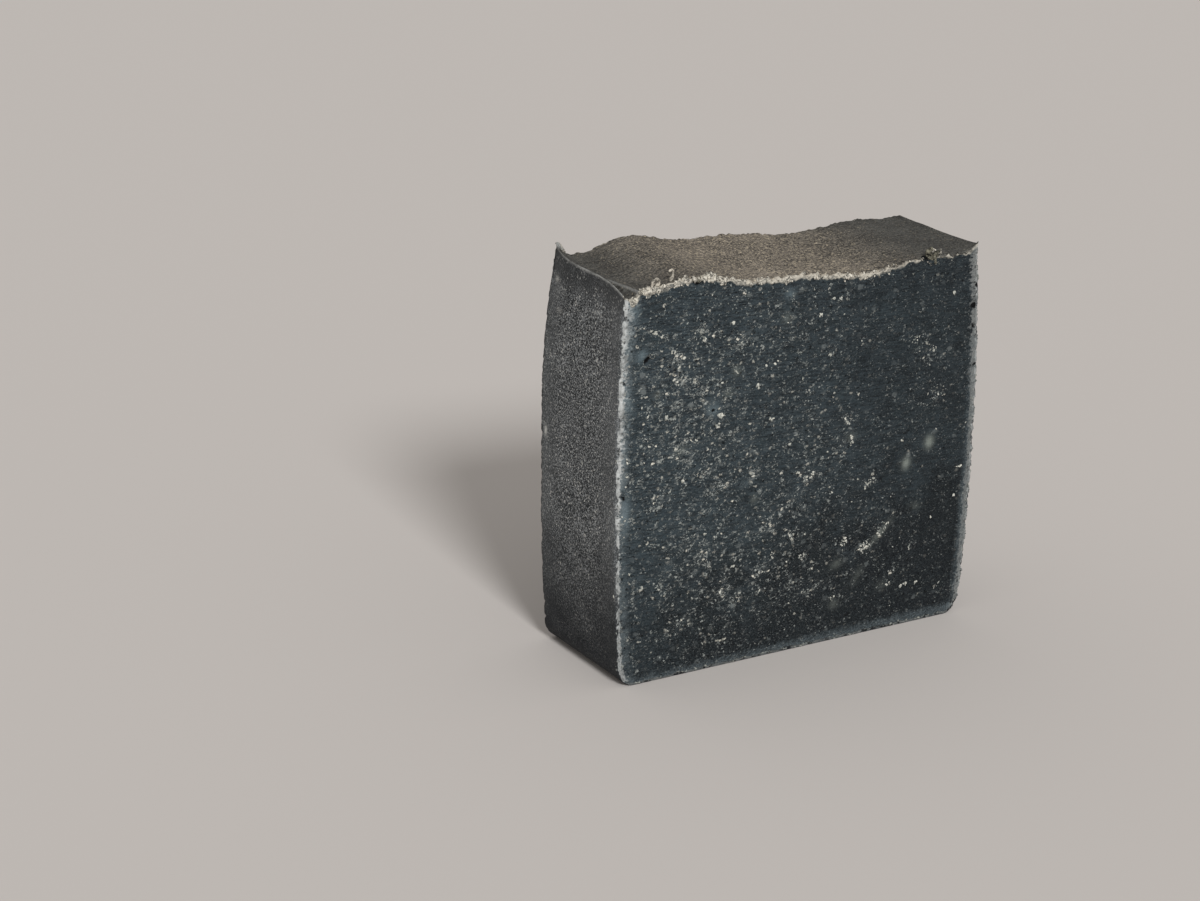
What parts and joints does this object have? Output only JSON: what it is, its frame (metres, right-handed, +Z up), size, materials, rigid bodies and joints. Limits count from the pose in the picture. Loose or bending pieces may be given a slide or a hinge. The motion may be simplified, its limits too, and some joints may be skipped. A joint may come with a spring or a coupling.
{
  "type": "bar of soap",
  "caption": "Bar of dark handmade soap cut from a moulded loaf, with a wavy poured top and worn cut edges, standing on its narrow base.",
  "frame": {"origin": "middle of the bottom, midway between the walls and between the two cuts", "axes": "+X across the loaf, +Y from the front cut to the back cut, +Z up to the poured top"},
  "size_m": [0.0754, 0.0254, 0.0714],
  "materials": {
    "soap": "matte, dark blue-grey soap with fine pale flecks"
  },
  "bodies": {
    "root": {"soap_bar": "soap"}
  },
  "joints": []
}
